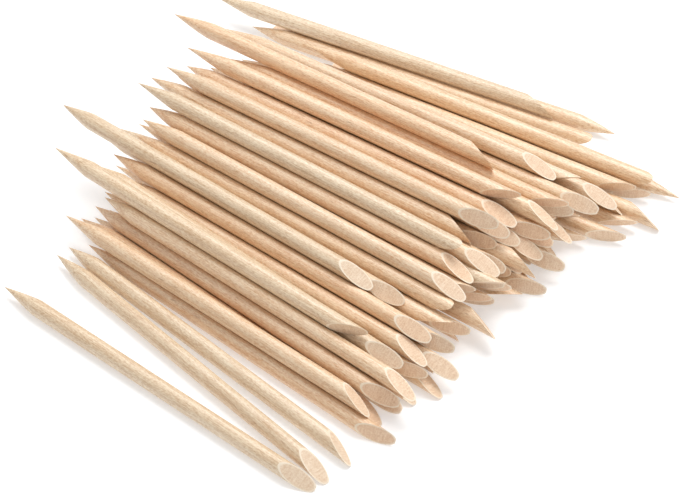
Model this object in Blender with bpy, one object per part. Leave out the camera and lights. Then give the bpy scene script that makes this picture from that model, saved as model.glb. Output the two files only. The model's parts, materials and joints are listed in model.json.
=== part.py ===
"""A loose heap of wooden cuticle sticks: each one is turned to a point and cut on a slant.

Every stick is a piece of its own. The sticks are laid one after another, from the table up: each
is put down at its planned place, rolls sideways into the nearest groove, and comes to rest on the
table or on the sticks below it. Heights and tilts are worked out, so they follow every size.
The sticks run along X with their points at -X, the front of the heap is at -Y, and Z is up.
"""

import math
import random

import bmesh
import bpy
import numpy as np
from mathutils import Vector

# Driving dimensions, in millimetres and degrees.
STICK_LENGTH = 115.0
STICK_DIAMETER = 4.7
POINT_LENGTH = 13.4      # from the sharp tip to the full diameter
POINT_SPREAD = 2.8       # each point is longer or shorter by up to this
POINT_BELLY = 1.2        # 1 is a straight cone, 2 is a round nose
BEVEL_LENGTH = 11.0      # the slanted cut, measured along the stick
CLEARANCE = 0.32         # between sticks that touch
ROW_PITCH = 5.8          # from one stick of a row to the next, at mid-length
FAN = 0.13               # degrees of turn for each millimetre in front of the middle
BACK_FAN = 0.07          # the same behind it
SPLAY = 0.07             # and this much more behind SPLAY_FROM
SPLAY_FROM = 40.0
END_SPREAD = 6.5         # how far the ends of a row's sticks are out of line
END_SLANT = 0.12         # the line of the ends runs to the right by this, towards the back
CUT_TURN = -35.0         # most slanted cuts of the inner rows face up and a little to the front
CUT_SPREAD = 115.0
YAW_SPREAD = 0.4

SIDES = 14               # flats around a stick, one of them facing down
POINT_RINGS = (0.12, 0.35, 0.65, 1.0)
REST_SAMPLES = 45        # places along a stick where its height is worked out
ROLL_STEP = 0.8          # first sideways step when a stick looks for its groove
TURN_STEP = 0.5
SEED = 11

MM = 0.001
RADIUS = STICK_DIAMETER / 2
SMOOTH_ANGLE = math.radians(35)

# Rows of the heap that follow a rule: first place across, count, mean place along, and how many
# sticks apart are the ones that are modelled. The ones between them are counted when the heap is
# laid, and hold up what lies on them.
INNER_ROWS = {
    1: (-38.0, 18, -6.0, 3),
    2: (-29.2, 16, -7.0, 3),
    3: (-26.3, 14, -8.5, 2),
    4: (-6.2, 10, -10.0, 2),
}

# Sticks placed by hand, from the table up. Each has its place along and across the heap at
# mid-length, its yaw, the way its slanted cut faces (0 is up, 90 is to the back), and whether
# its point is to the right.
LEFT, RIGHT = False, True
LOOSE = (
    (-6, -74.7, -4.7, -30, LEFT),
    (-4, -64.5, -11.4, 5, LEFT),
)
OUTER_STICKS = {
    1: (
        (-3, -56.6, -9.0, 40, LEFT),
        (1, -50.3, -6.0, -70, LEFT),
        (-6, -44.2, -5.5, 20, LEFT),
        (9, 65.4, 7.6, 0, RIGHT),
        (-24, 71.4, 8.2, 160, LEFT),
        (-21, 77.2, 9.0, 0, RIGHT),
    ),
    2: (
        (-8, -46.4, -5.8, 30, LEFT),
        (-4, -40.6, -5.2, -55, LEFT),
        (-4, -35.2, -4.6, 80, LEFT),
        (2, 63.0, 5.6, 150, LEFT),
    ),
    3: (
        (0, -37.8, -4.8, 10, LEFT),
        (-10, -32.2, -4.2, -40, LEFT),
        (-38, 73.6, 8.6, 65, LEFT),
    ),
    4: (
        (-21, -35.8, -3.0, -105, LEFT),
        (-8, -23.4, -3.0, -30, LEFT),
        (-22, -17.8, -2.3, -40, LEFT),
        (-9, -12.0, -1.6, 160, LEFT),
    ),
    5: (
        (-30, -20.4, -1.9, -10, LEFT),
        (-8, -9.3, -1.2, -10, LEFT),
        (-10, -3.8, -0.4, 5, LEFT),
        (-6, 2.0, 0.1, -15, LEFT),
        (-18, 8.1, 0.6, 65, LEFT),
        (-12, 14.0, 1.0, -40, LEFT),
        (-13, 19.9, 1.4, -15, LEFT),
        (-3, 25.7, 1.8, 20, LEFT),
        (-5, 31.5, 2.2, -110, LEFT),
        (-16, 43.1, 3.2, -5, LEFT),
    ),
    6: (
        (-16, -0.8, 0.0, 160, LEFT),
        (-14, 11.2, 0.8, -60, LEFT),
        (-15, 22.8, 1.6, -110, LEFT),
        (-28, 31.5, 1.2, 65, LEFT),
    ),
}


class Stick:
    """One stick at rest: its middle, its direction from tip to cut end, and its point's length."""

    def __init__(self, name, middle, direction, point, cut_angle, modelled):
        self.name = name
        self.middle = np.array(middle)
        self.direction = np.array(direction)
        self.point = point
        self.cut_angle = cut_angle
        self.modelled = modelled

    def tip(self):
        return self.middle - self.direction * STICK_LENGTH / 2


def radius_at(distance, point):
    """The stick's radius at a distance from its tip."""
    share = np.clip(distance / point, 0.0, 1.0)
    return RADIUS * (1 - (1 - share) ** POINT_BELLY)


def plan_direction(yaw, to_right):
    turn = yaw + math.pi if to_right else yaw
    return math.cos(turn), math.sin(turn)


def lowest_axis(heap, along, across, yaw, point, to_right):
    """How high the axis must be at places along a stick to clear the table and the heap."""
    distance = np.linspace(0.0, STICK_LENGTH, REST_SAMPLES)
    ux, uy = plan_direction(yaw, to_right)
    x = along + (distance - STICK_LENGTH / 2) * ux
    y = across + (distance - STICK_LENGTH / 2) * uy
    own = radius_at(distance, point)
    height = own * math.cos(math.pi / SIDES)
    for other in heap:
        flat = math.hypot(other.direction[0], other.direction[1])
        ex, ey = other.direction[:2] / flat
        tip = other.tip()
        beside = np.abs((y - tip[1]) * ex - (x - tip[0]) * ey)
        reach = ((x - tip[0]) * ex + (y - tip[1]) * ey) / flat
        sum_radii = own + radius_at(reach, other.point) + CLEARANCE
        near = (reach > -RADIUS / 2) & (reach < STICK_LENGTH + RADIUS / 2) & (beside < sum_radii)
        rise = np.sqrt(np.maximum(sum_radii**2 - beside**2, 0.0)) / flat
        on_other = tip[2] + reach * other.direction[2] + rise
        height = np.where(near, np.maximum(height, on_other), height)
    return distance - STICK_LENGTH / 2, height


def resting_line(places, heights):
    """Height and slope, at mid-length, of the line that rests on two supports around it."""
    hull = []
    for point in zip(places, heights):
        while len(hull) > 1 and lies_below(hull[-2], hull[-1], point):
            hull.pop()
        hull.append(point)
    for (x0, z0), (x1, z1) in zip(hull, hull[1:]):
        if x0 <= 0.0 <= x1:
            slope = (z1 - z0) / (x1 - x0)
            return z0 - slope * x0, slope
    return hull[0][1], 0.0


def lies_below(start, middle, end):
    run, rise = end[0] - start[0], end[1] - start[1]
    return (middle[0] - start[0]) * rise >= (middle[1] - start[1]) * run


def settle(heap, along, across, yaw, point, to_right):
    """Rolls and turns a stick downhill, in smaller and smaller steps, until it lies in a groove."""

    def rest(place, turn):
        return resting_line(*lowest_axis(heap, along, place, turn, point, to_right))

    height, slope = rest(across, yaw)
    step, turn_step = ROLL_STEP, math.radians(TURN_STEP)
    room = (across - ROW_PITCH / 3, across + ROW_PITCH / 3)
    moves = ((1, 0), (-1, 0), (0, 1), (0, -1), (1, 1), (1, -1), (-1, 1), (-1, -1))
    while step > ROLL_STEP / 16:
        for roll, turn in moves:
            place, angle = across + roll * step, yaw + turn * turn_step
            if room[0] <= place <= room[1]:
                lower, new_slope = rest(place, angle)
                if lower < height - CLEARANCE / 100:
                    across, yaw, height, slope = place, angle, lower, new_slope
                    break
        else:
            step, turn_step = step / 2, turn_step / 2
    return across, yaw, height, slope


def lay(heap, name, along, across, yaw, cut_angle, to_right, chance, modelled=True):
    point = POINT_LENGTH + chance.uniform(-POINT_SPREAD, POINT_SPREAD)
    across, yaw, height, slope = settle(heap, along, across, math.radians(yaw), point, to_right)
    ux, uy = plan_direction(yaw, to_right)
    stretch = math.hypot(1.0, slope)
    direction = (ux / stretch, uy / stretch, slope / stretch)
    middle = (along, across, height)
    heap.append(Stick(name, middle, direction, point, math.radians(cut_angle), modelled))


def fan_yaw(across):
    """The heap opens out like a fan towards the slanted ends."""
    front, back = min(across, 0.0), max(across, 0.0)
    return FAN * front + BACK_FAN * back + SPLAY * max(across - SPLAY_FROM, 0.0)


def lay_row(heap, row, chance):
    first, count, mean_along, apart = INNER_ROWS[row]
    for i in range(count):
        across = first + i * ROW_PITCH
        along = mean_along + END_SLANT * across + chance.uniform(-END_SPREAD, END_SPREAD)
        yaw = fan_yaw(across) + chance.uniform(-YAW_SPREAD, YAW_SPREAD)
        cut_angle = CUT_TURN + chance.uniform(-CUT_SPREAD, CUT_SPREAD)
        name = f"inner{row}_stick_{i + 1:02d}"
        modelled = i % apart == 0 or i == count - 1
        lay(heap, name, along, across, yaw, cut_angle, LEFT, chance, modelled)


def lay_heap():
    chance = random.Random(SEED)
    heap = []
    for i, place in enumerate(LOOSE):
        lay(heap, f"loose_stick_{i + 1}", *place, chance)
    for row, places in OUTER_STICKS.items():
        if row in INNER_ROWS:
            lay_row(heap, row, chance)
        for i, place in enumerate(places):
            lay(heap, f"outer{row}_stick_{i + 1:02d}", *place, chance)
    return heap


def stick_mesh(stick):
    """A turned point, a round shank and a flat slanted cut, as one closed mesh about its middle."""
    mesh = bpy.data.meshes.new(stick.name)
    bm = bmesh.new()
    angles = [2 * math.pi * (i + 0.5) / SIDES for i in range(SIDES)]

    def ring(distances, radius):
        corners = []
        for angle, distance in zip(angles, distances):
            y, z = radius * math.sin(angle), radius * math.cos(angle)
            corners.append(bm.verts.new(((distance - STICK_LENGTH / 2) * MM, y * MM, z * MM)))
        return corners

    tip = bm.verts.new((-STICK_LENGTH / 2 * MM, 0, 0))
    rings = []
    for share in POINT_RINGS:
        distance = share * stick.point
        rings.append(ring([distance] * SIDES, float(radius_at(distance, stick.point))))
    cut = [STICK_LENGTH - BEVEL_LENGTH * (1 + math.cos(a - stick.cut_angle)) / 2 for a in angles]
    rings.append(ring(cut, RADIUS))
    for i in range(SIDES):
        j = (i + 1) % SIDES
        bm.faces.new((tip, rings[0][j], rings[0][i]))
        for near, far in zip(rings, rings[1:]):
            bm.faces.new((near[i], near[j], far[j], far[i]))
    bm.faces.new(rings[-1])
    bmesh.ops.recalc_face_normals(bm, faces=bm.faces)
    bm.to_mesh(mesh)
    bm.free()
    mesh.shade_smooth()
    mesh.set_sharp_from_angle(angle=SMOOTH_ANGLE)
    return mesh


def wood(name, chance):
    """Pale bare wood; each stick is cut from its own piece, so the tone wanders a little."""
    tone = chance.uniform(0.85, 1.0)
    material = bpy.data.materials.new(name)
    material.use_nodes = True
    shader = material.node_tree.nodes["Principled BSDF"]
    shader.inputs["Base Color"].default_value = (0.80 * tone, 0.58 * tone, 0.36 * tone, 1)
    shader.inputs["Roughness"].default_value = 0.62
    shader.inputs["Metallic"].default_value = 0.0
    return material


def place_stick(stick, chance):
    mesh = stick_mesh(stick)
    mesh.materials.append(wood(stick.name + "_wood", chance))
    body = bpy.data.objects.new(stick.name, mesh)
    dx, dy, dz = stick.direction
    body.location = stick.middle * MM
    body.rotation_euler = (0, -math.asin(dz), math.atan2(dy, dx))
    bpy.context.collection.objects.link(body)
    return body


def stand_at_origin(bodies):
    """Moves the heap so that the middle of its box's floor is the origin."""
    bpy.context.view_layer.update()
    corners = np.array([b.matrix_world @ v.co for b in bodies for v in b.data.vertices])
    low, high = corners.min(axis=0), corners.max(axis=0)
    middle = Vector(((low[0] + high[0]) / 2, (low[1] + high[1]) / 2, low[2]))
    for body in bodies:
        body.location -= middle


def main():
    for old in list(bpy.data.objects):
        bpy.data.objects.remove(old, do_unlink=True)
    chance = random.Random(SEED)
    stand_at_origin([place_stick(s, chance) for s in lay_heap() if s.modelled])


main()
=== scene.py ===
import json
import math
import random

import bpy
import numpy as np
from mathutils import Matrix, Vector


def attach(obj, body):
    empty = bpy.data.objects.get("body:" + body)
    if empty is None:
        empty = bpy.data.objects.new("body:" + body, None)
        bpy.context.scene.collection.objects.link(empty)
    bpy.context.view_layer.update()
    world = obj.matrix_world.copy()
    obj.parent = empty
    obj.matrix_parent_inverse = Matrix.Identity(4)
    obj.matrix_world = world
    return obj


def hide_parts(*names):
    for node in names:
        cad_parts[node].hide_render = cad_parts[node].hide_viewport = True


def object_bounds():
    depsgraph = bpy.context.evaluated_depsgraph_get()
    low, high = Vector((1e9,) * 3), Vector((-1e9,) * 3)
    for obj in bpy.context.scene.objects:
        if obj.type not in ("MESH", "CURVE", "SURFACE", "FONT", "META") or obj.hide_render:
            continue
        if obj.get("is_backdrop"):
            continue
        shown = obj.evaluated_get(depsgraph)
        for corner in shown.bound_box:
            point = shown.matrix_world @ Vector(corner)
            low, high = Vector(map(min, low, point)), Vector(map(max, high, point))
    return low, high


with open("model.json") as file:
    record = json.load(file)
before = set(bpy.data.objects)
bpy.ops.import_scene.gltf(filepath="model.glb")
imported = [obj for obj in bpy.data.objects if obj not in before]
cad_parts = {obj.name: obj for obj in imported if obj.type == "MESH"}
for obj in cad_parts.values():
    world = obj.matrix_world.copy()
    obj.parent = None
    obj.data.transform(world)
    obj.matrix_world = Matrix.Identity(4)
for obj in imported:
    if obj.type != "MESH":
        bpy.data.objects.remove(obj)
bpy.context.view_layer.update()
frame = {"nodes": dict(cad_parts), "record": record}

mm = 0.001
record = frame["record"]
bodyOf = {node: body for body, nodes in record["behaviour"]["bodies"].items() for node in nodes}
slotOf = {part["node"]: part["material_slot"] for part in record["subparts"]}


class Wire:
    # a socket of a node tree that takes part in plain Python maths

    def __init__(self, tree, socket=None):
        self.tree = tree
        self.socket = socket

    def put(self, kind, settings=None, sockets=None, output=0):
        node = self.tree.nodes.new(kind)
        for key, value in (settings or {}).items():
            setattr(node, key, value)
        for key, value in (sockets or {}).items():
            if isinstance(value, Wire):
                self.tree.links.new(value.socket, node.inputs[key])
            else:
                node.inputs[key].default_value = value
        return Wire(self.tree, node.outputs[output] if len(node.outputs) else None)

    def output(self, name):
        return Wire(self.tree, self.socket.node.outputs[name])

    def math(self, operation, *values, clamp=False):
        settings = {"operation": operation, "use_clamp": clamp}
        return self.put("ShaderNodeMath", settings, dict(enumerate((self, *values))))

    def __add__(self, other):
        return self.math("ADD", other)

    def __sub__(self, other):
        return self.math("SUBTRACT", other)

    def __rsub__(self, other):
        return self.put("ShaderNodeMath", {"operation": "SUBTRACT"}, {0: other, 1: self})

    def __mul__(self, other):
        return self.math("MULTIPLY", other)

    def __truediv__(self, other):
        return self.math("DIVIDE", other)

    def __pow__(self, other):
        return self.math("POWER", other)

    __radd__ = __add__
    __rmul__ = __mul__

    def clamped(self):
        return self.math("ADD", 0.0, clamp=True)

    def ease(self, low, high):
        settings = {"interpolation_type": "SMOOTHSTEP"}
        return self.put("ShaderNodeMapRange", settings, {"Value": self, "From Min": low, "From Max": high})


def blendColour(wire, kind, share, a, b):
    settings = {"data_type": "RGBA", "blend_type": kind}
    return wire.put("ShaderNodeMix", settings, {0: share, 6: a, 7: b}, 2)  # 6, 7 and 2 are its colour sockets


def mixColour(share, a, b):
    return blendColour(share, "MIX", share, a, b)


def tinted(colour, tint):  # one colour seen through another
    return blendColour(colour, "MULTIPLY", 1.0, colour, tint)


stickShape = {
    "sides": 28,
    "pointRings": 16,
    "shankRings": 22,
    "cutRings": 10,
    "faceRings": 8,
    "crowdPoint": 1.25,   # over 1, the point's rings crowd towards the tip
    "crowdFace": 1.55,    # over 1, the cut face's rings crowd towards its rim
    "cutLead": 1.5,       # mm, how far before the cut its rings start
    "lipTrim": 0.35,      # mm, how blunt the thin end of the slanted cut is
    "lipBlend": 0.25,     # mm, how softly the blunt end turns into the cut
    "slump": 0.10,        # mm, how far the cut's rim is worn down
    "slumpReach": 0.06,   # how far in from the rim the wear goes, as a share of the radius
    "girth": (1.005, 1.025),  # times the solid's radius, so that neighbours look as if they touch
    "belly": 1.2,         # over 1, the point's sides bulge
    "bellySpread": 0.10,
    "bend": 0.09,         # mm, the most that a stick bows at mid-length
    "tipWander": 0.16,    # mm, the most that a point is off its stick's axis
    "swell": 0.035,       # mm, how uneven the turned shank is
    "swellPace": 38.0,    # how fast that changes, per metre along the stick
    "swellRound": 0.35,   # and how much it differs from side to side
    "weld": 0.002,        # mm, the distance at which seam and poles are joined
    "faceFrom": 0.001,    # share of the face rings from which the sawn wood starts
    "smoothUpTo": 40.0,   # degrees
    "logStep": 211.0,     # mm along the log for each unit of the grain seed
    "logTurns": (7.3, 4.1),  # radians across it for each unit, one way and the other
    "logReach": 55.0,     # mm, how far across the log a stick can be taken
    "logAside": 9.0,      # mm, how far the middle of that is from the pith
}


def stickTree(shape):
    tree = bpy.data.node_groups.new("turnedStick", "GeometryNodeTree")
    sizes = (  # metres and radians, as a plain stick has them
        ("Length", 0.115), ("Radius", 0.00235), ("Point Length", 0.012), ("Point Belly", shape["belly"]),
        ("Cut Length", 0.011), ("Cut Angle", 0.0), ("Bend", 0.0), ("Bend Angle", 0.0),
        ("Tip Wander", 0.0), ("Grain Seed", 0.0), ("Tone", 0.5), ("Warmth", 0.5),
    )
    tree.interface.new_socket("Geometry", in_out="OUTPUT", socket_type="NodeSocketGeometry")
    for name, value in sizes:
        socket = tree.interface.new_socket(name, in_out="INPUT", socket_type="NodeSocketFloat")
        socket.default_value = value
    for name in ("Shank Wood", "Cut Wood"):
        tree.interface.new_socket(name, in_out="INPUT", socket_type="NodeSocketMaterial")
    given = Wire(tree).put("NodeGroupInput")
    length, radius = given.output("Length"), given.output("Radius")
    point, belly = given.output("Point Length"), given.output("Point Belly")
    cut, cutAngle = given.output("Cut Length"), given.output("Cut Angle")

    rings = [shape[key] for key in ("pointRings", "shankRings", "cutRings", "faceRings")]
    total = sum(rings)
    size = {"Size X": 1.0, "Size Y": 1.0, "Vertices X": total + 1, "Vertices Y": shape["sides"] + 1}
    grid = given.put("GeometryNodeMeshGrid", None, size)
    across = given.put("ShaderNodeSeparateXYZ", None, {0: given.put("GeometryNodeInputPosition")})
    ring = (across + 0.5) * total
    turn = (across.output("Y") + 0.5) * (2 * math.pi)

    shares, start = [], 0  # how far each of the four stretches has gone, from 0 to 1
    for count in rings:
        shares.append(((ring - start) / count).clamped())
        start += count
    alongPoint = shares[0] ** shape["crowdPoint"]
    pull = shares[3] ** shape["crowdFace"]
    roundness = 1 - (1 - alongPoint) ** belly
    inward = 1 - pull

    facing = (turn - cutAngle).math("COSINE") * inward
    slant = length - cut * (facing + 1) * 0.5
    blunt = slant.math("SMOOTH_MIN", length - shape["lipTrim"] * mm, shape["lipBlend"] * mm)
    worn = (1 - pull / shape["slumpReach"]).clamped() * (shape["slump"] * mm)
    face = blunt - worn
    shankEnd = length - cut - shape["cutLead"] * mm
    x = point * alongPoint + (shankEnd - point) * shares[1] + (face - shankEnd) * shares[2]

    seed = given.output("Grain Seed")
    aroundIt = turn.math("SINE") * shape["swellRound"]
    uneven = given.put("ShaderNodeTexNoise", {"noise_dimensions": "2D"}, {
        "Vector": given.put("ShaderNodeCombineXYZ", None, {0: x * shape["swellPace"] + seed, 1: aroundIt}),
        "Scale": 1.0, "Detail": 1.0,
    })
    swell = (uneven - 0.5) * (2 * shape["swell"] * mm) * (alongPoint ** 2)
    reach = (radius * roundness + swell) * inward
    middle = x / length * 2 - 1
    bow = given.output("Bend") * (1 - middle * middle)
    stray = given.output("Tip Wander") * (1 - alongPoint) ** 2
    bendAngle = given.output("Bend Angle")
    y = turn.math("SINE") * reach + bendAngle.math("SINE") * bow + bendAngle.math("COSINE") * stray
    z = turn.math("COSINE") * reach + bendAngle.math("COSINE") * bow - bendAngle.math("SINE") * stray
    place = given.put("ShaderNodeCombineXYZ", None, {0: x, 1: y, 2: z})

    # every stick's grain is taken from its own spot in one large log, in mm
    firstTurn, secondTurn = shape["logTurns"]
    shift = given.put("ShaderNodeCombineXYZ", None, {
        0: seed * shape["logStep"],
        1: (seed * firstTurn).math("SINE") * shape["logReach"],
        2: (seed * secondTurn).math("COSINE") * shape["logReach"] + shape["logAside"],
    })
    spot = {0: place, 1: (1 / mm, 1 / mm, 1 / mm), 2: shift}
    grain = given.put("ShaderNodeVectorMath", {"operation": "MULTIPLY_ADD"}, spot)
    stored = (
        ("grain", "FLOAT_VECTOR", grain),
        ("tone", "FLOAT", given.output("Tone")),
        ("warmth", "FLOAT", given.output("Warmth")),
        ("onFace", "FLOAT", shares[3]),
        ("inFace", "FLOAT", inward),
    )
    mesh = grid
    for name, kind, value in stored:
        settings = {"data_type": kind, "domain": "POINT"}
        sockets = {"Geometry": mesh, "Name": name, "Value": value}
        mesh = given.put("GeometryNodeStoreNamedAttribute", settings, sockets)
    mesh = given.put("GeometryNodeSetPosition", None, {"Geometry": mesh, "Position": place})
    weld = {"Geometry": mesh, "Distance": shape["weld"] * mm}
    mesh = given.put("GeometryNodeMergeByDistance", None, weld)
    mesh = given.put("GeometryNodeRealizeInstances", None, {"Geometry": mesh})
    allOver = {"Geometry": mesh, "Material": given.output("Shank Wood")}
    mesh = given.put("GeometryNodeSetMaterial", None, allOver)
    onFace = given.put("GeometryNodeInputNamedAttribute", {"data_type": "FLOAT"}, {"Name": "onFace"})
    isFace = onFace.math("GREATER_THAN", shape["faceFrom"])
    onCut = {"Geometry": mesh, "Selection": isFace, "Material": given.output("Cut Wood")}
    mesh = given.put("GeometryNodeSetMaterial", None, onCut)
    given.put("NodeGroupOutput", None, {"Geometry": mesh})
    return tree


def setInputs(modifier, values):
    for item in modifier.node_group.interface.items_tree:
        if item.in_out == "INPUT" and item.name in values:
            modifier[item.identifier] = values[item.name]


woodLooks = {
    "pale_wood": {"pale": (0.91, 0.74, 0.54), "deep": (0.64, 0.37, 0.17), "cut": (0.95, 0.765, 0.60)},
    "greyed_wood": {"pale": (0.875, 0.735, 0.545), "deep": (0.58, 0.37, 0.19), "cut": (0.93, 0.775, 0.62)},
    "warm_wood": {"pale": (0.92, 0.72, 0.505), "deep": (0.66, 0.35, 0.15), "cut": (0.96, 0.74, 0.56)},
}
# how fast each noise changes per mm, along the stick and across it; the last two are on the cut only
grainNoises = {
    "drift": {"pace": (0.02, 0.12, 0.12), "detail": 1.0, "roughness": 0.5},
    "fibres": {"pace": (0.11, 3.0, 3.0), "detail": 3.0, "roughness": 0.65},
    "fine": {"pace": (0.95, 4.4, 4.4), "detail": 3.0, "roughness": 0.7},
    "clouds": {"pace": (0.035, 0.22, 0.22), "detail": 2.0, "roughness": 0.5},
    "flecks": {"pace": (0.22, 1.6, 1.6), "detail": 2.0, "roughness": 0.5},
    "speckle": {"pace": (2.6, 3.6, 3.6), "detail": 3.0, "roughness": 0.7},
    "saw": {"pace": (3.4, 0.35, 0.35), "detail": 2.0, "roughness": 0.6},
}
grainLook = {
    "rings": 1.15,        # year rings, per mm from the pith
    "ringDrift": 2.4,     # mm, how far they are out of round
    "weights": {"rings": 0.6, "fibres": 1.9, "fine": 3.0, "clouds": 0.4},
    "depth": 0.42,        # 0 for all pale, 1 for all deep
    "pores": {"fine": (0.60, 0.74), "fibres": (0.44, 0.58), "share": 0.42, "colour": (0.36, 0.21, 0.10)},
    "fleckMarks": {"from": (0.66, 0.74), "share": 0.55, "colour": (0.42, 0.22, 0.09)},
    "warmest": (1.0, 0.945, 0.87),
}
shankFinish = {
    "rough": 0.36,
    "roughFibres": 0.20,  # added where the fibres are deep
    "relief": {"fibres": 0.6, "fine": 0.4},
    "depth": 0.05,        # mm
    "specular": 1.0,
    "coat": 1.0,          # a faint waxy sheen
    "coatRough": 0.5,
}
cutFinish = {
    "rough": 0.55,
    "roughSpeckle": 0.15,
    "relief": {"speckle": 0.6, "saw": 0.6},
    "depth": 0.10,        # mm
    "specular": 0.6,
    "coat": 0.0,
    "coatRough": 0.5,
    "weights": {"speckle": 3.0, "saw": 2.0},
    "marks": 0.45,        # how much of the cut is marked
    "markTint": (0.76, 0.64, 0.54),
    "bare": 0.5,          # how much the sawn look hides the grain, where there is no speckle
    "bareSpeckle": 0.3,
    # the cut's rim band: partly the paler sanded edge of the wood, partly a painted highlight where the rim
    # would catch the light
    "rimFrom": (0.84, 0.93),
    "paleRimAndHighlightShare": 0.8,
    "paleRimAndHighlightColour": (0.95, 0.84, 0.68),
}


def solid(colour):
    return (*colour, 1)


def noise(wire, place, detail, roughness=0.5, scale=1.0):
    sockets = {"Vector": place, "Scale": scale, "Detail": detail, "Roughness": roughness}
    return wire.put("ShaderNodeTexNoise", None, sockets)


def streaks(wire, place, kind):
    look = grainNoises[kind]
    stretched = wire.put("ShaderNodeVectorMath", {"operation": "MULTIPLY"}, {0: place, 1: look["pace"]})
    return noise(wire, stretched, look["detail"], look["roughness"])


def attribute(wire, name, output="Fac"):
    return wire.put("ShaderNodeAttribute", {"attribute_name": name}, None, output)


def newMaterial(name):
    material = bpy.data.materials.new(name)
    material.use_nodes = True
    material.node_tree.nodes.clear()
    return material, Wire(material.node_tree)


def finishMaterial(wire, colour, rough, relief, finish):
    bumps = {"Strength": 1.0, "Distance": finish["depth"] * mm, "Height": relief}
    bump = wire.put("ShaderNodeBump", None, bumps)
    sockets = {
        "Base Color": colour, "Roughness": rough, "Normal": bump, "Specular IOR Level": finish["specular"],
        "Coat Weight": finish["coat"], "Coat Roughness": finish["coatRough"],
    }
    shader = wire.put("ShaderNodeBsdfPrincipled", None, sockets)
    wire.put("ShaderNodeOutputMaterial", None, {"Surface": shader})


def weighed(noises, weights, level):  # noises about their middle, added to a level
    terms = [(noises[kind] - 0.5) * weight for kind, weight in weights.items()]
    total = terms[0]
    for term in terms[1:]:
        total = total + term
    return (total + level).clamped()


def grey(level):
    return level.put("ShaderNodeCombineColor", None, {0: level, 1: level, 2: level})


def grainColour(wire, place, look):
    parts = wire.put("ShaderNodeSeparateXYZ", None, {0: place})
    drift = streaks(wire, place, "drift")
    fromPith = (parts.output("Y") ** 2 + parts.output("Z") ** 2).math("SQRT") + drift * grainLook["ringDrift"]
    sockets = {"W": fromPith, "Scale": grainLook["rings"], "Detail": 2.0}
    noises = {
        "rings": wire.put("ShaderNodeTexNoise", {"noise_dimensions": "1D"}, sockets),
        "fibres": streaks(wire, place, "fibres"),
        "fine": streaks(wire, place, "fine"),
        "clouds": streaks(wire, place, "clouds"),
    }
    share = weighed(noises, grainLook["weights"], grainLook["depth"])
    colour = mixColour(share, solid(look["pale"]), solid(look["deep"]))
    pores, flecks = grainLook["pores"], grainLook["fleckMarks"]
    pore = noises["fine"].ease(*pores["fine"]) * noises["fibres"].ease(*pores["fibres"])
    colour = mixColour(pore * pores["share"], colour, solid(pores["colour"]))
    fleck = streaks(wire, place, "flecks").ease(*flecks["from"])
    colour = mixColour(fleck * flecks["share"], colour, solid(flecks["colour"]))
    amber = mixColour(attribute(wire, "warmth"), solid((1, 1, 1)), solid(grainLook["warmest"]))
    return tinted(colour, amber), noises["fibres"], noises["fine"]


def shankWood(slot, look):
    material, wire = newMaterial(slot + "Shank")
    colour, fibres, fine = grainColour(wire, attribute(wire, "grain", "Vector"), look)
    colour = tinted(colour, grey(attribute(wire, "tone")))
    rough = (fibres * shankFinish["roughFibres"] + shankFinish["rough"]).clamped()
    relief = fibres * shankFinish["relief"]["fibres"] + fine * shankFinish["relief"]["fine"]
    finishMaterial(wire, colour, rough, relief, shankFinish)
    return material


def cutWood(slot, look):
    material, wire = newMaterial(slot + "Cut")
    place = attribute(wire, "grain", "Vector")
    colour = grainColour(wire, place, look)[0]
    noises = {kind: streaks(wire, place, kind) for kind in ("speckle", "saw")}
    marks = weighed(noises, cutFinish["weights"], cutFinish["marks"])
    marked = [level * tint for level, tint in zip(look["cut"], cutFinish["markTint"])]
    sawn = mixColour(marks, solid(look["cut"]), solid(marked))
    speckle = noises["speckle"]
    colour = mixColour(speckle * cutFinish["bareSpeckle"] + cutFinish["bare"], colour, sawn)
    # a pale band at the cut's rim: partly paler sanded wood, partly a painted highlight along the rim
    paleRimAndHighlight = attribute(wire, "inFace").ease(*cutFinish["rimFrom"])
    colour = mixColour(paleRimAndHighlight * cutFinish["paleRimAndHighlightShare"], colour, solid(cutFinish["paleRimAndHighlightColour"]))
    colour = tinted(colour, grey(attribute(wire, "tone")))
    rough = (speckle * cutFinish["roughSpeckle"] + cutFinish["rough"]).clamped()
    relief = speckle * cutFinish["relief"]["speckle"] + noises["saw"] * cutFinish["relief"]["saw"]
    finishMaterial(wire, colour, rough, relief, cutFinish)
    return material


woods = {slot: (shankWood(slot, look), cutWood(slot, look)) for slot, look in woodLooks.items()}
print("woods made:", len(woods))


class Place:
    # a stick's tip, its way from tip to cut end, its sizes, and the way its cut faces

    def __init__(self, tip, way, length, radius, point, cut, facing):
        self.tip, self.way = tip, way
        self.length, self.radius, self.point, self.cut = length, radius, point, cut
        self.facing = facing

    def middle(self):
        return self.tip + self.way * self.length / 2

    def matrix(self):
        side = Vector((0, 0, 1)).cross(self.way).normalized()
        up = self.way.cross(side)
        turned = Matrix((self.way, side, up)).transposed().to_4x4()
        return Matrix.Translation(self.tip) @ turned

    def cutAngle(self):
        local = self.matrix().to_3x3().transposed() @ self.facing
        return math.atan2(local.y, local.z)


reading = {  # how a solid's flats are told apart, by the cosine of their slant against its axis
    "rounds": 3,
    "shankBelow": 0.05,
    "cutAbove": 0.35,
    "fullGirth": 0.99,    # the share of the radius at which the point ends
}


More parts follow.
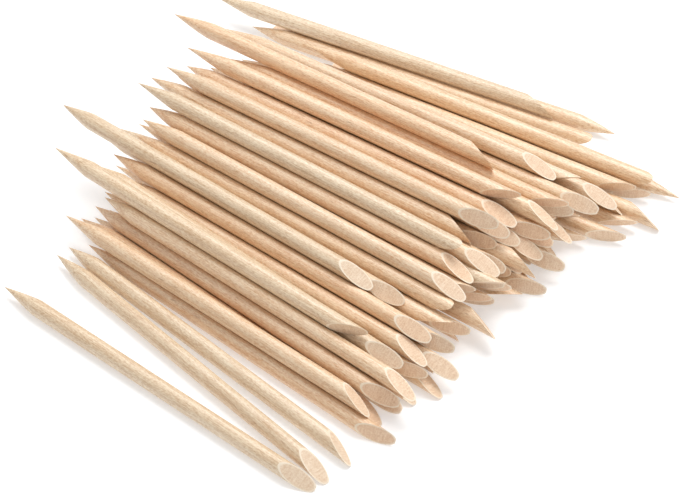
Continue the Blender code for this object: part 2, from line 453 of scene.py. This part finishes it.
def readPlace(name):
    mesh = frame["nodes"][name].data
    corners = np.array([v.co for v in mesh.vertices])
    normals = np.array([f.normal for f in mesh.polygons])
    areas = np.array([f.area for f in mesh.polygons])
    shank = np.ones(len(areas), bool)
    for _ in range(reading["rounds"]):  # the shank's flats all lie along the axis
        spread = (normals[shank] * areas[shank, None]).T @ normals[shank]
        way = np.linalg.eigh(spread)[1][:, 0]
        shank = np.abs(normals @ way) < reading["shankBelow"]
    cutFaces = np.abs(normals @ way) > reading["cutAbove"]
    normal = (normals[cutFaces] * areas[cutFaces, None]).sum(axis=0)
    normal /= np.linalg.norm(normal)
    way *= np.sign(normal @ way)
    tip = corners[np.argmin(corners @ way)]
    along = (corners - tip) @ way
    out = np.linalg.norm(corners - tip - along[:, None] * way, axis=1)
    radius = out.max()
    facing = normal - (normal @ way) * way
    slope = np.linalg.norm(facing) / (normal @ way)
    onCut = [v for f, isCut in zip(mesh.polygons, cutFaces) if isCut for v in f.vertices]
    face = corners[onCut].mean(axis=0) - tip
    centre = (face @ normal) / (way @ normal)  # where the cut crosses the axis
    length = centre + slope * radius
    point = along[out > reading["fullGirth"] * radius].min()
    cut = 2 * slope * radius
    return Place(Vector(tip), Vector(way), length, radius, point, cut, Vector(facing).normalized())


places = {name: readPlace(name) for name in sorted(frame["nodes"])}
print("sticks read:", len(places))

innerFill = {
    "seed": 5,
    "endSpread": 7.0,     # mm, the most that a stick is shifted along its neighbours
    "pointSpread": 1.6,   # mm, the most that its point is longer or shorter
    "cutTurn": -35.0,     # degrees, where the slanted cuts face on average, with 0 up
    "cutSpread": 110.0,
    "slots": ("pale_wood", "pale_wood", "warm_wood", "greyed_wood"),
}


def fillPlaces(settings):
    chance = random.Random(settings["seed"])
    found = {}
    rows = {}
    for name in places:
        if name.startswith("inner"):
            rows.setdefault(name.split("_")[0], []).append(int(name.split("_")[-1]))
    for row, numbers in sorted(rows.items()):
        for first, last in zip(numbers, numbers[1:]):
            a = places[f"{row}_stick_{first:02d}"]
            b = places[f"{row}_stick_{last:02d}"]
            for number in range(first + 1, last):
                share = (number - first) / (last - first)
                middle = a.middle().lerp(b.middle(), share)
                way = a.way.lerp(b.way, share).normalized()
                middle += way * chance.uniform(-1, 1) * settings["endSpread"] * mm
                spin = math.radians(settings["cutTurn"] + chance.uniform(-1, 1) * settings["cutSpread"])
                side = Vector((0, 0, 1)).cross(way).normalized()
                facing = side * math.sin(spin) + way.cross(side) * math.cos(spin)
                point = a.point + chance.uniform(-1, 1) * settings["pointSpread"] * mm
                tip = middle - way * a.length / 2
                place = Place(tip, way, a.length, a.radius, point, a.cut, facing)
                found[f"{row}_fill_{number:02d}"] = place
    return found


fills = fillPlaces(innerFill)
print("inner sticks added:", len(fills))

stickSpread = {"seed": 23, "grain": (0, 100), "tone": (0.97, 1.03), "warmth": (0.0, 1.0)}


def turnSticks(allPlaces, shape, spread):
    tree = stickTree(shape)
    chance = random.Random(spread["seed"])
    made = {}
    for name, place in allPlaces.items():
        slot = slotOf.get(name) or chance.choice(innerFill["slots"])
        stick = bpy.data.objects.new(name + "_turned", bpy.data.meshes.new(name))
        bpy.context.scene.collection.objects.link(stick)
        modifier = stick.modifiers.new("turned", "NODES")
        modifier.node_group = tree
        setInputs(modifier, {
            "Length": place.length,
            "Radius": place.radius * chance.uniform(*shape["girth"]),
            "Point Length": place.point,
            "Point Belly": shape["belly"] + chance.uniform(-1, 1) * shape["bellySpread"],
            "Cut Length": place.cut,
            "Cut Angle": place.cutAngle(),
            "Bend": chance.uniform(0, 1) * shape["bend"] * mm,
            "Bend Angle": chance.uniform(0, 2 * math.pi),
            "Tip Wander": chance.uniform(0, 1) * shape["tipWander"] * mm,
            "Grain Seed": chance.uniform(*spread["grain"]),
            "Tone": chance.uniform(*spread["tone"]),
            "Warmth": chance.uniform(*spread["warmth"]),
            "Shank Wood": woods[slot][0],
            "Cut Wood": woods[slot][1],
        })
        made[name] = (stick, slot)
    bpy.context.view_layer.update()
    graph = bpy.context.evaluated_depsgraph_get()
    keepAll = {"preserve_all_data_layers": True, "depsgraph": graph}
    meshes = {}
    for name, (stick, slot) in made.items():
        meshes[name] = bpy.data.meshes.new_from_object(stick.evaluated_get(graph), **keepAll)
    for name, (stick, slot) in made.items():
        mesh = meshes[name]
        mesh.name = name
        stick.modifiers.clear()
        stick.data = mesh
        mesh.transform(allPlaces[name].matrix())
        mesh.shade_smooth()
        mesh.set_sharp_from_angle(angle=math.radians(shape["smoothUpTo"]))
        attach(stick, bodyOf.get(name, "heap"))
        if name in bodyOf:
            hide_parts(name)
    return list(meshes.values())


turned = turnSticks({**places, **fills}, stickShape, stickSpread)
print("sticks turned:", len(turned), "with", sum(len(mesh.polygons) for mesh in turned), "faces")

studio = {
    "floorHalf": 3.0,     # m
    "floorTone": (0.72, 0.723, 0.73),
    "mottleTone": 0.985,  # times the floor's tone
    "mottleScale": 6.0,
    "mottleShare": 0.5,
    "floorRough": 0.7,
    "floorSpecular": 0.2,
    "floorGlow": 0.36,
    "farGlow": 0.70,      # keeps the table pale towards the horizon
    "farFrom": (0.30, 1.60),  # m from the middle, where the far glow starts and is full
    "skyLight": 0.31,
    "skyOverhead": 0.52,
    "skyBehind": 0.08,
    "keyPower": 5.7,      # W
    "keySize": 0.6,       # m
    "keyFrom": (-0.05, 0.34, 0.85),
}
cameraPlace = {
    "lookAt": (0.01446, -0.00317, 0.0),
    "azimuth": 37.0,      # degrees, from -Y towards +X
    "elevation": 42.0,
    "distance": 0.85,     # m
    "lens": 160.12,       # mm, as is the sensor
    "sensor": 36.0,
}


def makeFloor(settings):
    mesh = bpy.data.meshes.new("tableTop")
    half = settings["floorHalf"]
    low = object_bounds()[0].z
    corners = [(-half, -half, low), (half, -half, low), (half, half, low), (-half, half, low)]
    mesh.from_pydata(corners, [], [(0, 1, 2, 3)])
    material, wire = newMaterial("paleTable")
    place = wire.put("ShaderNodeTexCoord", None, None, "Object")
    mottle = noise(wire, place, 2.0, scale=settings["mottleScale"]) * settings["mottleShare"]
    tone = settings["floorTone"]
    colour = mixColour(mottle, solid(tone), solid([level * settings["mottleTone"] for level in tone]))
    away = place.put("ShaderNodeVectorMath", {"operation": "LENGTH"}, {0: place}).output("Value")
    far = away.ease(*settings["farFrom"])
    glow = mixColour(far, solid([settings["floorGlow"]] * 3), solid([settings["farGlow"]] * 3))
    sockets = {
        "Base Color": colour, "Roughness": settings["floorRough"],
        "Specular IOR Level": settings["floorSpecular"],
        "Emission Color": glow, "Emission Strength": 1.0,
    }
    shader = wire.put("ShaderNodeBsdfPrincipled", None, sockets)
    wire.put("ShaderNodeOutputMaterial", None, {"Surface": shader})
    mesh.materials.append(material)
    floor = bpy.data.objects.new("tableTop", mesh)
    bpy.context.scene.collection.objects.link(floor)
    floor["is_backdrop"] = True


def lookAt(thing, target):
    thing.rotation_euler = (Vector(target) - thing.location).to_track_quat("-Z", "Y").to_euler()


def makeLight(name, power, size, place):
    data = bpy.data.lights.new(name, "AREA")
    data.energy = power
    data.shape = "DISK"
    data.size = size
    light = bpy.data.objects.new(name, data)
    light.location = place
    bpy.context.scene.collection.objects.link(light)
    lookAt(light, (0, 0, 0))


def makeSky(settings):  # white all round, brighter overhead and behind the heap
    world = bpy.data.worlds.new("studioSky")
    bpy.context.scene.world = world
    world.use_nodes = True
    world.node_tree.nodes.clear()
    wire = Wire(world.node_tree)
    way = wire.put("ShaderNodeTexCoord", None, None, "Generated")
    way = wire.put("ShaderNodeSeparateXYZ", None, {0: way})
    behind = way.output("Y").math("MAXIMUM", 0.0)
    overhead = way.output("Z").math("MAXIMUM", 0.0)
    strength = overhead * settings["skyOverhead"] + behind * settings["skyBehind"] + settings["skyLight"]
    seen = wire.put("ShaderNodeLightPath", None, None, "Is Camera Ray")
    strength = strength.math("MAXIMUM", seen)  # plain white where it is seen
    sky = wire.put("ShaderNodeBackground", None, {"Color": solid((1, 1, 1)), "Strength": strength})
    wire.put("ShaderNodeOutputWorld", None, {"Surface": sky})


def makeCamera(settings):
    data = bpy.data.cameras.new("viewer")
    data.lens = settings["lens"]
    data.sensor_width = settings["sensor"]
    data.sensor_fit = "HORIZONTAL"
    camera = bpy.data.objects.new("viewer", data)
    around = math.radians(settings["azimuth"])
    above = math.radians(settings["elevation"])
    level = math.cos(above)
    away = Vector((math.sin(around) * level, -math.cos(around) * level, math.sin(above)))
    camera.location = Vector(settings["lookAt"]) + away * settings["distance"]
    bpy.context.scene.collection.objects.link(camera)
    lookAt(camera, settings["lookAt"])
    bpy.context.scene.camera = camera


makeFloor(studio)
makeSky(studio)
makeLight("keyLight", studio["keyPower"], studio["keySize"], studio["keyFrom"])
makeCamera(cameraPlace)
bpy.context.scene.view_settings.view_transform = "Standard"
print("studio set")
